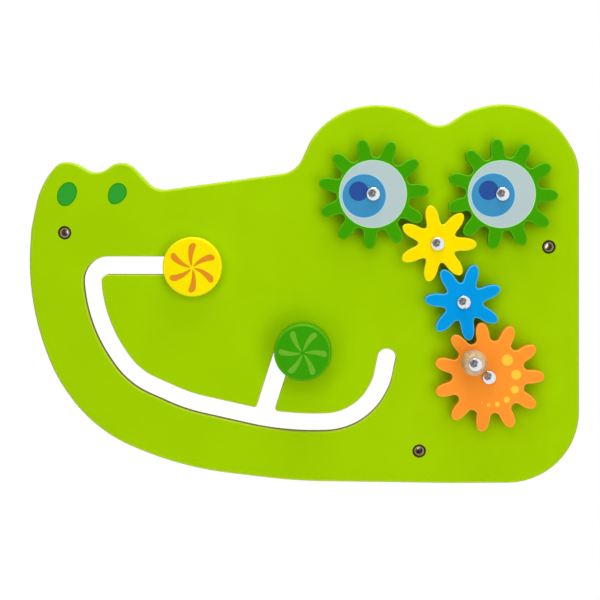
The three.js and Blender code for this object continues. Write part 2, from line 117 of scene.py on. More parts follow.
def fillets(corners, radii):
    """Rounds each inner corner of a path. An arc starts where its radius times the tangent of half
    the corner's turn is left of the edge, and point and direction turn round its centre in even
    steps. Rows are x, z and the direction of travel."""
    incoming = corners[1:-1] - corners[:-2]
    outgoing = corners[2:] - corners[1:-1]
    incoming /= np.linalg.norm(incoming, axis=1, keepdims=True)
    outgoing /= np.linalg.norm(outgoing, axis=1, keepdims=True)
    cross = incoming[:, 0] * outgoing[:, 1] - incoming[:, 1] * outgoing[:, 0]
    turn = np.arctan2(cross, (incoming * outgoing).sum(1))
    start = corners[1:-1] - incoming * (radii * np.tan(abs(turn) / 2))[:, None]
    centre = start + turned_left(incoming) * (np.sign(turn) * radii)[:, None]
    angle = turn[:, None] * np.linspace(0, 1, ARC_STEPS + 1)
    cos, sin = np.cos(angle)[..., None], np.sin(angle)[..., None]
    spoke = (start - centre)[:, None]
    points = centre[:, None] + spoke * cos + turned_left(spoke) * sin
    along = incoming[:, None] * cos + turned_left(incoming)[:, None] * sin
    return np.concatenate([points, along], -1).reshape(-1, 4)


def rounded(corners, radii, closed=False):
    """A path of straight runs and fillet arcs. A closed one rounds every corner, an open one keeps
    its two ends."""
    if closed:
        return fillets(np.concatenate([corners[-1:], corners, corners[:1]]), radii)
    arcs = fillets(corners, radii[1:-1])
    first = np.concatenate([corners[0], arcs[0, 2:]])
    last = np.concatenate([corners[-1], arcs[-1, 2:]])
    return np.vstack([first, arcs, last])


def middle_line(shares):
    """The slot's middle line, each bend's radius over that of the tightest bend."""
    tightest = SLOT_WIDTH / 2 + BOARD_EDGE
    return rounded(shares[:, :2] * BOARD_SIZE, tightest + shares[:, 2] * BOARD_HEIGHT)


def beside(path, distance):
    """The path that runs beside another, to its left when the distance is positive."""
    return np.concatenate([path[:, :2] + turned_left(path[:, 2:]) * distance, path[:, 2:]], 1)


def backwards(path):
    """The same path travelled the other way."""
    return path[::-1] * (1, 1, -1, -1)


def round_end(end, radius):
    """Half a circle about a path's end, from its right side to its left, without its first and
    last points: the spoke to the right and the direction of travel turn together."""
    angle = np.linspace(0, np.pi, 2 * ARC_STEPS + 1)[1:-1, None]
    along = end[2:] * np.cos(angle) + turned_left(end[2:]) * np.sin(angle)
    return np.concatenate([end[:2] - turned_left(along) * radius, along], 1)


def crossing(path, point, direction):
    """Where a path crosses the straight line through a point: the first change of side, and the
    spot on that stretch in proportion to the distances from the line."""
    offset = path[:, :2] - point
    side = direction[0] * offset[:, 1] - direction[1] * offset[:, 0]
    i = np.flatnonzero(side[:-1] * side[1:] <= 0)[0]
    share = side[i] / (side[i] - side[i + 1])
    return i, path[i, :2] + share * (path[i + 1, :2] - path[i, :2])


def slot_outline():
    """The edge of the smile: the middle line's right side, round its end, back along its left side
    with the branch let in between two small fillets, and round its start. The long side loses its
    points next to the fillets, so that each fillet has a straight run to start from."""
    half = SLOT_WIDTH / 2
    main = middle_line(SLOT_SHARES)
    branch = middle_line(BRANCH_SHARES)
    inner = backwards(beside(main, half))
    right = beside(branch, -half)
    left = backwards(beside(branch, half))
    i, right_foot = crossing(inner, right[0, :2], branch[0, 2:])
    j, left_foot = crossing(inner, left[-1, :2], branch[0, 2:])
    before, after = inner[:i + 1], inner[j + 1:]
    before = before[np.linalg.norm(before[:, :2] - right_foot, axis=1) > 2 * SLOT_MOUTH]
    after = after[np.linalg.norm(after[:, :2] - left_foot, axis=1) > 2 * SLOT_MOUTH]
    mouth = np.array([SLOT_MOUTH])
    into = fillets(np.array([before[-1, :2], right_foot, right[1, :2]]), mouth)
    out = fillets(np.array([left[-2, :2], left_foot, after[0, :2]]), mouth)
    start = main[0] * (1, 1, -1, -1)
    return np.vstack([
        beside(main, -half), round_end(main[-1], half), before, into, right[1:],
        round_end(branch[-1], half), left[:-1], out, after, round_end(start, half),
    ])


def round_hole(centre, radius):
    """A round hole's edge, travelled anticlockwise with the air to its left."""
    angle = np.linspace(0, 2 * np.pi, 8 * ARC_STEPS, endpoint=False)
    spoke = np.stack([np.cos(angle), np.sin(angle)], 1)
    return np.concatenate([centre + spoke * radius, turned_left(spoke)], 1)


def spaced(path):
    """A closed path without points that repeat the one before."""
    gap = np.linalg.norm(path[:, :2] - np.roll(path[:, :2], 1, axis=0), axis=1)
    return path[gap > CLOSEST_POINTS]


def add_mesh(name, points, normals, faces, finishes, raw_faces=()):
    """Puts points, faces and exact normals into a mesh, whose object rests at the origin. The raw
    faces get the second finish. The attribute "rounding" is 1 where the surface leans half way
    from a face to a wall, and 0 on both: the root of the sine of twice the lean."""
    mesh = bpy.data.meshes.new(name)
    mesh.from_pydata(points.tolist(), [], faces)
    mesh.polygons.foreach_set("use_smooth", np.ones(len(faces), bool))
    coat = np.zeros(len(faces), int)
    coat[list(raw_faces)] = 1
    for finish in finishes:
        mesh.materials.append(finish)
    mesh.polygons.foreach_set("material_index", coat)
    mesh.normals_split_custom_set_from_vertices(normals.tolist())
    facing = abs(normals[:, 1]).clip(0, 1)
    rounding = np.sqrt(2 * facing * np.sqrt(1 - facing ** 2))
    mesh.attributes.new("rounding", "FLOAT", "POINT").data.foreach_set("value", rounding)
    piece = bpy.data.objects.new(name, mesh)
    bpy.context.scene.collection.objects.link(piece)
    return piece


def grid_faces(rows, columns, first, close_rows):
    """Four-sided faces of a grid whose columns close on themselves, and its rows if asked."""
    row = np.arange(rows if close_rows else rows - 1)[:, None]
    column = np.arange(columns)[None]
    next_row, next_column = (row + 1) % rows, (column + 1) % columns
    corners = [row * columns + column, row * columns + next_column,
               next_row * columns + next_column, next_row * columns + column]
    return first + np.stack(corners, -1).reshape(-1, 4)


def board_shape(loops, edges, back, front):
    """A flat board. Each loop's edge is a half circle that is pulled apart by the board's
    thickness and carried along the loop: at angle a it lies edge * (1 - sin a) inside the loop,
    and its normal leans from the front face over the side to the back face. Triangles fill the
    two flat faces. The last result is the numbers of each loop's wall faces."""
    quarter = np.linspace(0, np.pi / 2, EDGE_STEPS + 1)
    angle = np.concatenate([quarter, quarter + np.pi / 2])
    points, normals, faces, walls, rims, first = [], [], [], [], [], 0
    for loop, edge in zip(loops, edges):
        left = turned_left(loop[:, 2:])
        inset = edge * (1 - np.sin(angle))[:, None, None]
        middle = np.repeat([front - edge, back + edge], EDGE_STEPS + 1)
        flat = loop[None, :, :2] - left[None] * inset
        depth = np.broadcast_to((middle + edge * np.cos(angle))[:, None], flat.shape[:2])
        points.append(np.stack([flat[..., 0], -depth, flat[..., 1]], -1).reshape(-1, 3))
        lean = np.sin(angle)[:, None, None] * left[None]
        face = np.broadcast_to(np.cos(angle)[:, None], flat.shape[:2])
        normals.append(np.stack([lean[..., 0], -face, lean[..., 1]], -1).reshape(-1, 3))
        rows, columns = len(angle), len(loop)
        band = grid_faces(rows, columns, first, False)
        wall_start = sum(len(part) for part in faces) + EDGE_STEPS * columns
        walls.append(np.arange(wall_start, wall_start + columns))
        faces.append(band)
        rims.append(first + np.arange(columns))
        first += rows * columns
    points = np.concatenate(points)
    spots = np.concatenate(rims)
    rings = [(points[rim] * (1, 0, 1))[:, [0, 2, 1]].tolist() for rim in rims]
    fill = np.array(tessellate_polygon(rings))
    a, b, c = (points[spots[fill[:, k]]][:, [0, 2]] for k in range(3))
    area = (b - a)[:, 0] * (c - a)[:, 1] - (b - a)[:, 1] * (c - a)[:, 0]
    fill = np.where((area > 0)[:, None], fill, fill[:, ::-1])
    last_rows = np.concatenate([rim + (len(angle) - 1) * len(rim) for rim in rims])
    front_face, back_face = spots[fill], last_rows[fill][:, ::-1]
    faces = [*np.concatenate(faces).tolist(), *front_face.tolist(), *back_face.tolist()]
    return points, np.concatenate(normals), faces, walls


class Signal:
    """One output of a shader node. Sums and products of signals add the nodes for them."""

    def __init__(self, finish, socket):
        self.finish = finish
        self.socket = socket

    def maths(self, operation, *others):
        """The result of one operation on this signal and others."""
        values = dict(enumerate((self, *others)))
        return self.finish.node("Math", {"operation": operation}, values)

    def __add__(self, other):
        return self.maths("ADD", other)

    def __sub__(self, other):
        return self.maths("SUBTRACT", other)

    def __rsub__(self, other):
        return self.finish.node("Math", {"operation": "SUBTRACT"}, {0: other, 1: self})

    def __mul__(self, other):
        return self.maths("MULTIPLY", other)

    def __truediv__(self, other):
        return self.maths("DIVIDE", other)

    def __pow__(self, other):
        return self.maths("POWER", other)

    __radd__ = __add__
    __rmul__ = __mul__

    def step(self, low, high):
        """0 below low, 1 above high, and a smooth rise between."""
        return self.finish.node("MapRange", {"interpolation_type": "SMOOTHSTEP"},
                                {"Value": self, "From Min": low, "From Max": high})


class Finish:
    """A material of this toy: its shader, and the nodes that feed it."""

    def __init__(self, name, constants=()):
        self.material = bpy.data.materials.new(name)
        self.material.use_nodes = True
        self.tree = self.material.node_tree
        self.shader = self.tree.nodes["Principled BSDF"]
        for socket, value in dict(constants).items():
            self.shader.inputs[socket].default_value = value
        self.place = self.node("TexCoord", output="Object")
        self.x = self.node("SeparateXYZ", {}, {"Vector": self.place}, "X")
        self.y = self.node("SeparateXYZ", {}, {"Vector": self.place}, "Y")
        self.z = self.node("SeparateXYZ", {}, {"Vector": self.place}, "Z")

    def node(self, kind, settings=(), values=(), output=0):
        """Adds one node: its settings first, then the values or links of its sockets."""
        made = self.tree.nodes.new("ShaderNode" + kind)
        for name, value in dict(settings).items():
            setattr(made, name, value)
        for name, value in dict(values).items():
            if isinstance(value, Signal):
                self.tree.links.new(value.socket, made.inputs[name])
            else:
                made.inputs[name].default_value = value
        return Signal(self, made.outputs[output])

    def mix(self, share, first, second):
        """The first colour where the share is 0, the second where it is 1."""
        return self.node("Mix", {"data_type": "RGBA"}, {0: share, 6: first, 7: second}, 2)

    def noise(self, size, detail=2, stretch=(1, 1, 1)):
        """Noise with grains of about a size, drawn out along the axes by the stretch."""
        scale = tuple(1 / (size * factor) for factor in stretch)
        place = self.node("VectorMath", {"operation": "MULTIPLY"}, {0: self.place, 1: scale}, 0)
        return self.node("TexNoise", {}, {"Vector": place, "Scale": 1, "Detail": detail}, 0)

    def away(self, x, z):
        """Distance from a line that runs from the front to the back through (x, z)."""
        flat = self.node("VectorMath", {"operation": "MULTIPLY"}, {0: self.place, 1: (1, 0, 1)}, 0)
        return self.node("VectorMath", {"operation": "DISTANCE"}, {0: flat, 1: (x, 0, z)}, "Value")

    def bump(self, height, distance, strength=1):
        """A normal that stands up from the surface by a height times a distance."""
        values = {"Height": height, "Distance": distance, "Strength": strength}
        return self.node("Bump", {}, values)

    def feed(self, signals):
        """Links signals to the shader's sockets."""
        for socket, signal in signals.items():
            self.tree.links.new(signal.socket, self.shader.inputs[socket])
        return self.material


def paint(red, green, blue):
    """A colour as it looks on a screen, 0 to 255, as the shader's linear light."""
    share = np.array([red, green, blue]) / 255
    linear = np.where(share <= 0.04045, share / 12.92, ((share + 0.055) / 1.055) ** 2.4)
    return (*linear.tolist(), 1)


def shaded(colour, share):
    """A colour with only a share of its light."""
    return (*(share * part for part in colour[:3]), 1)


# Specular level and roughness of the satin lacquer, and of the grip knobs' harder one
SATIN = (0.12, 0.36)
POLISHED = (0.3, 0.24)
SHEEN_WHITE = 0.15
# How much of the paler edge colour the most rounded edges get: a painted sheen
EDGE_SHEEN_SHARE = 0.8
DRIFT_SIZE = 45 * MM
DRIFT_SHADE = 0.965
PEEL_SIZE = 1.4 * MM
PEEL_HEIGHT = 0.02 * MM
PEEL_DULLNESS = 0.08
DUST_SIZE = 0.35 * MM
PRINT_SOFTNESS = 0.12 * MM
PRINT_DULLNESS = 0.08
# A print ends where a rounded edge falls this far below the front, give or take a little
PRINT_DEPTH = 0.3 * MM
PRINT_DEPTH_SOFTNESS = 0.1 * MM


def lacquer(name, colour, edge, prints=(), front=0, gloss=SATIN):
    """Sprayed satin lacquer on sanded fibreboard: a colour that drifts by a hair, a paler colour
    painted on rounded edges as a painted sheen, a fine orange peel, and prints on the front face.
    A print is a colour and a function that gives how far inside its edge a spot lies. The
    lacquer's sheen takes on its colour, but for a share of white."""
    specular, roughness = gloss
    brightest = max(colour[:3])
    sheen = [SHEEN_WHITE + (1 - SHEEN_WHITE) * part / brightest for part in colour[:3]]
    finish = Finish(name, {"Specular IOR Level": specular, "Specular Tint": (*sheen, 1)})
    drift = finish.noise(DRIFT_SIZE).step(0.3, 0.7)
    tint = finish.mix(drift, shaded(colour, DRIFT_SHADE), colour)
    # Rounded edges take the paler edge colour, a painted sheen where the surface turns from face
    # to wall
    painted_sheen = finish.node("Attribute", {"attribute_name": "rounding"}, {}, "Fac")
    tint = finish.mix(painted_sheen * EDGE_SHEEN_SHARE, tint, edge)
    on_front = (0 - finish.y).step(front - PRINT_DEPTH - PRINT_DEPTH_SOFTNESS,
                                   front - PRINT_DEPTH + PRINT_DEPTH_SOFTNESS)
    inked = None
    for ink, inside in prints:
        mask = inside(finish).step(-PRINT_SOFTNESS, PRINT_SOFTNESS) * on_front
        tint = finish.mix(mask, tint, ink)
        inked = mask if inked is None else inked.maths("MAXIMUM", mask)
    peel = finish.noise(PEEL_SIZE, 1)
    dust = finish.noise(DUST_SIZE)
    dullness = roughness + peel * PEEL_DULLNESS
    if inked is not None:
        dullness = dullness + inked * PRINT_DULLNESS
    return finish.feed({
        "Base Color": tint,
        "Roughness": dullness,
        "Normal": finish.bump(peel * 0.7 + dust * 0.3, PEEL_HEIGHT, 0.6),
    })


def nostril(middle, length, width, lean, egg):
    """How far inside a leaning egg a spot lies: 1 less the root of the squares of its shares of
    the half length and of the half width, times that width, which is less at the lower end."""
    def inside(finish):
        x, z = finish.x - middle[0], finish.z - middle[1]
        up = (x * np.sin(lean) + z * np.cos(lean)) / length
        across = (x * np.cos(lean) - z * np.sin(lean)) / (width * (1 + up * egg))
        return (1 - (up * up + across * across) ** 0.5) * width
    return inside


LIME = paint(158, 203, 0)
# The board's paler edge colour is a painted sheen on its rounded edges
LIME_EDGE_SHEEN = paint(180, 209, 46)
NOSTRIL_GREEN = paint(44, 157, 48)
NOSTRIL_RIM_GREEN = paint(38, 140, 22)
NOSTRIL_RIM = 0.9 * MM
LAYER_SIZE = 0.5 * MM
LAYER_SPREAD = (8, 1, 8)
LAYER_COLOURS = (paint(104, 92, 40), paint(132, 124, 58))
FIBRE_SIZE = 0.3 * MM
FIBRE_COLOUR = paint(86, 76, 34)
FIBRE_HEIGHT = 0.12 * MM

board_low, board_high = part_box("panel")
BOARD_BACK, BOARD_FRONT = -board_high[1], -board_low[1]
nostril_prints = []
for shape in NOSTRILS:
    rim = nostril(*shape)
    nostril_prints.append((NOSTRIL_RIM_GREEN, rim))
    nostril_prints.append((NOSTRIL_GREEN, lambda finish, rim=rim: rim(finish) - NOSTRIL_RIM))
lime = lacquer("lime_lacquer", LIME, LIME_EDGE_SHEEN, nostril_prints, BOARD_FRONT)


def raw_fibreboard():
    """The routed wall of the slot: brown fibreboard, pressed in fine layers, with a breath of
    green spray on it."""
    finish = Finish("routed_fibreboard", {"Specular IOR Level": 0.2})
    layers = finish.noise(LAYER_SIZE, 3, LAYER_SPREAD)
    fibres = finish.noise(FIBRE_SIZE, 3)
    tone = finish.mix(layers.step(0.35, 0.65), *LAYER_COLOURS)
    return finish.feed({
        "Base Color": finish.mix(fibres.step(0.45, 0.75) * 0.5, tone, FIBRE_COLOUR),
        "Roughness": 0.8 + fibres * 0.15,
        "Normal": finish.bump(fibres + layers, FIBRE_HEIGHT),
    })


WHEELS = ("left_eye", "right_eye", "yellow", "blue", "orange")
POSTS = ("snout_post", "brow_post", "jaw_post")


def axis_of(node):
    """Where a round node's axis meets the front, as (x, z)."""
    low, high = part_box(node)
    return np.array([(low[0] + high[0]) / 2, (low[2] + high[2]) / 2])


PIN_RADIUS = 3 * MM
SPIGOT_RADIUS = 5.9 * MM
axles = {name: axis_of(f"{name}_axle_pin") for name in WHEELS}
outline = rounded(
    BOARD_CORNER_SHARES[:, :2] * BOARD_SIZE, BOARD_CORNER_SHARES[:, 2] * BOARD_HEIGHT, True)
loops = [outline, slot_outline()]
edges = [BOARD_EDGE, SLOT_EDGE]
for place in axles.values():
    loops.append(round_hole(place, PIN_RADIUS + HOLE_PLAY))
    edges.append(HOLE_EDGE)
for post in POSTS:
    loops.append(round_hole(axis_of(post), SPIGOT_RADIUS + HOLE_PLAY))
    edges.append(HOLE_EDGE)
loops = [spaced(loop) for loop in loops]
points, normals, faces, walls = board_shape(loops, edges, BOARD_BACK, BOARD_FRONT)
slot_walls = walls[1]
board = add_mesh("board", points, normals, faces, [lime, raw_fibreboard()], slot_walls)
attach(board, "panel")
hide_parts("panel")

# The three posts. Each is turned from beech: a foot that keeps the board off the wall, a spigot in
# the board's hole, and a thinner sleeve that guides the wall screw. The screws belong to the wall.
POST_RADIUS = 15 * MM
SPIGOT_SEAT = 5 * MM
SLEEVE_RADIUS = 4.5 * MM
SLEEVE_RECESS = 1.5 * MM
SCREW_BORE = 3.1 * MM
ROUND_STEPS = 96
POLE_RADIUS = 1e-9
BAND_SIZE = 6 * MM
PORE_SIZE = 0.35 * MM
FLECK_SIZE = 0.8 * MM
GRAIN_LENGTH = 14
FLECK_LENGTH, FLECK_BREADTH = 3, 0.7
GRAIN_HEIGHT = 0.05 * MM
PORE_COLOUR = paint(170, 126, 82)
FLECK_COLOUR = paint(158, 112, 70)
BEECH = (paint(222, 186, 141), paint(201, 160, 112))
# Darker beech as painted shade: it stands in for the shade on the sleeve's end down in the board's
# hole
SHADE_DARKENED_BEECH = (paint(158, 134, 102), paint(132, 106, 76))


def beech(name, along, tones=BEECH, fleck=FLECK_SIZE):
    """Sanded beech whose grain runs along an axis: broad soft bands of two tones, fine pores, and
    the short dark flecks of its rays."""
    finish = Finish(name, {"Specular IOR Level": 0.3})
    grain = [GRAIN_LENGTH if k == along else 1 for k in range(3)]
    ray = [FLECK_LENGTH if k == along else FLECK_BREADTH for k in range(3)]
    bands = finish.noise(BAND_SIZE, 3, grain)
    pores = finish.noise(PORE_SIZE, 2, grain)
    flecks = finish.noise(fleck, 1, ray).step(0.56, 0.66)
    tone = finish.mix(bands.step(0.3, 0.7), *tones)
    tone = finish.mix(pores.step(0.45, 0.8) * 0.35, tone, PORE_COLOUR)
    return finish.feed({
        "Base Color": finish.mix(flecks * 0.5, tone, FLECK_COLOUR),
        "Roughness": 0.5 + pores * 0.2,
        "Normal": finish.bump(pores * 0.6 + bands * 0.4, GRAIN_HEIGHT, 0.5),
    })


def turned_shape(profile, axis, depth):
    """A turned piece: a profile of radius and depth, travelled with the air to its left, goes
    round an axis. Its normals lie to the left of its direction. Where the radius is zero the piece
    is closed to one point, and a profile without such an end is closed to a ring."""
    angle = np.linspace(0, 2 * np.pi, ROUND_STEPS, endpoint=False)
    cos, sin = np.cos(angle)[None], np.sin(angle)[None]
    radius, rise = profile[:, :1], profile[:, 1:2]
    lean, face = -profile[:, 3:4], profile[:, 2:3]
    even = np.ones_like(cos)
    points = np.stack([axis[0] + radius * cos, -(depth + rise) * even, axis[1] + radius * sin], -1)
    normals = np.stack([lean * cos, -face * even, lean * sin], -1)
    first_pole, last_pole = (bool(profile[end, 0] < POLE_RADIUS) for end in (0, -1))
    rows = slice(1 if first_pole else 0, -1 if last_pole else None)
    grid, columns = points[rows], ROUND_STEPS
    spots, leans = [grid.reshape(-1, 3)], [normals[rows].reshape(-1, 3)]
    ring = not (first_pole or last_pole)
    faces = grid_faces(len(grid), columns, 0, ring)[:, ::-1].tolist()
    here = np.arange(columns)
    after = (here + 1) % columns
    straight_out = np.array([[0.0, -1.0, 0.0]])
    if first_pole:
        pole = np.full(columns, len(grid) * columns)
        spots.append(points[0, :1])
        leans.append(straight_out * np.sign(profile[0, 2]))
        faces += np.stack([after, pole, here], 1).tolist()
    if last_pole:
        pole = np.full(columns, len(grid) * columns + first_pole)
        row = (len(grid) - 1) * columns
        spots.append(points[-1, :1])
        leans.append(straight_out * np.sign(profile[-1, 2]))
        faces += np.stack([row + here, pole, row + after], 1).tolist()
    return np.concatenate(spots), np.concatenate(leans), faces


def add_turned(name, body, finish, profile, node, from_back=True):
    """Adds a turned piece in the place of a node, its depths counted from the node's back, or
    backwards from its front."""
    low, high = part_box(node)
    if from_back:
        depth = -high[1]
    else:
        profile, depth = profile[::-1] * (1, -1, -1, 1), -low[1]
    points, normals, faces = turned_shape(profile, axis_of(node), depth)
    piece = add_mesh(name, points, normals, faces, [finish])
    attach(piece, body)
    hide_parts(node)


# The posts and spacers take the darker beech, a painted shade for the recessed sleeve ends
post_beech_painted_shade = beech("post_beech_painted_shade", 1, SHADE_DARKENED_BEECH)
post_profile = rounded(np.array([
    (SCREW_BORE, 0),
    (SCREW_BORE, BOARD_FRONT - SLEEVE_RECESS),
    (SLEEVE_RADIUS, BOARD_FRONT - SLEEVE_RECESS),
    (SLEEVE_RADIUS, BOARD_BACK + SPIGOT_SEAT),
    (SPIGOT_RADIUS, BOARD_BACK + SPIGOT_SEAT),
    (SPIGOT_RADIUS, BOARD_BACK),
    (POST_RADIUS, BOARD_BACK),
    (POST_RADIUS, 0),
]), np.array([0.3, 0.3, 0.3, 0.2, 0.4, 0.2, 0.8, 1]) * MM, True)
for post in POSTS:
    add_turned(f"turned_{post}", "panel", post_beech_painted_shade, post_profile, post)

# The axles. Steel pins go through the board, and on each sit a beech spacer in front of the board,
# a washer behind it, and at both ends a chromed cap that is pushed on and holds the wheel.
CAP_RADIUS = 5.9 * MM
CAP_HEIGHT = 4.6 * MM
CAP_BULGE = 2.1 * MM
CAP_BORE = 3.2 * MM
CAP_CREASE = 0.12 * MM
CAP_CREASE_DROP = 0.15 * MM
SPACER_RADIUS = 8 * MM
SPACER_EDGE = 0.4 * MM
WASHER_RADIUS = 9 * MM
WASHER_EDGE = 0.25 * MM
CURVE_STEPS = 18


def quarter_round(centre, reach, rise, start, end, steps=CURVE_STEPS):
    """Part of an ellipse, travelled from a start to an end angle: reach times the cosine out, rise
    times the sine up."""
    angle = np.linspace(start, end, steps + 1)
    way = np.sign(end - start)
    along = np.stack([-reach * np.sin(angle), rise * np.cos(angle)], 1) * way
    along /= np.linalg.norm(along, axis=1, keepdims=True)
    spot = np.stack([centre[0] + reach * np.cos(angle), centre[1] + rise * np.sin(angle)], 1)
    return np.concatenate([spot, along], 1)


SMEAR_SIZE = 3 * MM
SMEAR_SHADE = 0.94
SCRATCH_SIZE = 0.25 * MM
SCRATCH_SPREAD = (1, 1, 8)
SCRATCH_DEPTH = 0.01 * MM


def metal(name, colour, roughness, scratch):
    """Bare metal: a clean reflection that fine scratches and faint smears make a little uneven."""
    finish = Finish(name, {"Metallic": 1})
    smears = finish.noise(SMEAR_SIZE)
    scratches = finish.noise(SCRATCH_SIZE, 2, SCRATCH_SPREAD)
    return finish.feed({
        "Base Color": finish.mix(smears, shaded(colour, SMEAR_SHADE), colour),
        "Roughness": roughness + smears * roughness * 0.5,
        "Normal": finish.bump(scratches, SCRATCH_DEPTH, scratch),
    })


def depth_of(node):
    """How deep a node is from its front to its back."""
    low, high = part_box(node)
    return high[1] - low[1]


def ring_profile(inner, outer, thickness, edge):
    """A ring's section, its four corners rounded."""
    corners = np.array([(inner, 0), (inner, thickness), (outer, thickness), (outer, 0)])
    return rounded(corners, np.full(4, edge), True)


chrome = metal("chromed_steel", (0.81, 0.83, 0.86, 1), 0.07, 0.05)
steel = metal("zinc_plated_steel", (0.66, 0.67, 0.69, 1), 0.28, 0.5)
cap_ball = (CAP_RADIUS ** 2 + CAP_BULGE ** 2) / (2 * CAP_BULGE)
cap_end = np.arccos((CAP_RADIUS - CAP_CREASE) / cap_ball)
cap_profile = np.vstack([
    quarter_round((0, CAP_HEIGHT - cap_ball), cap_ball, cap_ball, np.pi / 2, cap_end, 16),
    rounded(np.array([
        (CAP_RADIUS, CAP_HEIGHT - CAP_BULGE - CAP_CREASE_DROP),
        (CAP_RADIUS, 0),
        (PIN_RADIUS + HOLE_PLAY, 0),
        (PIN_RADIUS + HOLE_PLAY, CAP_BORE),
        (0, CAP_BORE),
    ]), np.array([0, 0.2, 0.2, 0.3, 0]) * MM),
])
for name in WHEELS:
    length = depth_of(f"{name}_axle_pin")
    pin_profile = rounded(
        np.array([(0, length), (PIN_RADIUS, length), (PIN_RADIUS, 0), (0, 0)]),
        np.array([0, 0.5, 0.5, 0]) * MM)
    spacer_profile = ring_profile(
        PIN_RADIUS + HOLE_PLAY, SPACER_RADIUS, depth_of(f"{name}_spacer"), SPACER_EDGE)
    washer_profile = ring_profile(
        PIN_RADIUS + HOLE_PLAY, WASHER_RADIUS, depth_of(f"{name}_back_washer"), WASHER_EDGE)
    for part, slot, finish, profile, node, from_back in (
        ("pin", "steel", steel, pin_profile, "axle_pin", True),
        ("wood_spacer", "beech", post_beech_painted_shade, spacer_profile, "spacer", True),
        ("steel_washer", "steel", steel, washer_profile, "back_washer", True),
        ("cap", "chrome", chrome, cap_profile, "front_cap", True),
        ("rear_cap", "chrome", chrome, cap_profile, "back_cap", False),
    ):
        add_turned(
            f"{name}_{part}", "panel", finish, profile, f"{name}_{node}", from_back)

# The wheels. They are routed from 10 mm fibreboard, rounded over and lacquered. Two leaf-green
# ones are printed as eyes, and the orange one, which the crank turns, with shrinking dots.
TOOTH_MODULE = 8.13 * MM
WHEEL_EDGE = 1.2 * MM
FLANK_STEPS = 12
VALLEY_STEPS = 9
# How far a cubic curve's middle goes towards its two inner knots
CUBIC_PULL = 0.75
# Teeth, bluntness, and in tooth modules: tip, root, widest place, foot and half width
LARGE_WHEEL = (11, 2.3, (6.13, 4.06, 4.6, 4.4, 0.755))
SMALL_WHEEL = (7, 2.05, (4.317, 2.17, 2.85, 2.65, 0.74))
# Each wheel's turn at rest, in degrees
REST_TURNS = {
    "left_eye": 462.43, "right_eye": 292.93, "yellow": -52.49, "blue": 484.54, "orange": 0.60}
# Each wheel's second colour is a painted sheen on its rounded edges
LEAF, LEAF_EDGE_SHEEN = paint(60, 155, 3), paint(100, 182, 28)
YELLOW, YELLOW_EDGE_SHEEN = paint(252, 221, 0), paint(243, 230, 48)
BLUE, BLUE_EDGE_SHEEN = paint(4, 151, 225), paint(100, 188, 222)
ORANGE, ORANGE_EDGE_SHEEN = paint(253, 149, 48), paint(252, 182, 70)
DOT_YELLOW = paint(251, 198, 62)
EYE_WHITE = paint(178, 196, 197)
WHITE_RIM = paint(176, 232, 160)
IRIS_BLUE = paint(60, 140, 187)
IRIS_RIM = paint(160, 208, 228)
PUPIL_BLUE = paint(43, 76, 149)
# How far the rims of the white and of the iris reach out of the disc's edge, and into it
WHITE_RIM_OUT, WHITE_RIM_IN = 0.25 * MM, 0.4 * MM
IRIS_RIM_OUT, IRIS_RIM_IN = 0.35 * MM, 0.3 * MM
# Middle of each disc from the wheel's axis, and its radius, in millimetres: white, iris, pupil
LEFT_EYE = ((-0.32, -0.04, 30.27), (-8.26, -1.75, 19.74), (-13.12, 2.46, 8.79))
RIGHT_EYE = ((-0.72, -0.11, 30.15), (-8.4, -0.97, 19.66), (-12.54, 3.33, 8.76))
DOTS = (
    (16.3, 15.59, 5.05),
    (24.42, 2.5, 4.49),
    (23.32, -11.11, 3.63),
    (16.15, -20.31, 2.68),
    (7.58, -24.48, 2.13),
    (-0.3, -25.16, 1.50),
    (-6.18, -23.39, 0.71),
)


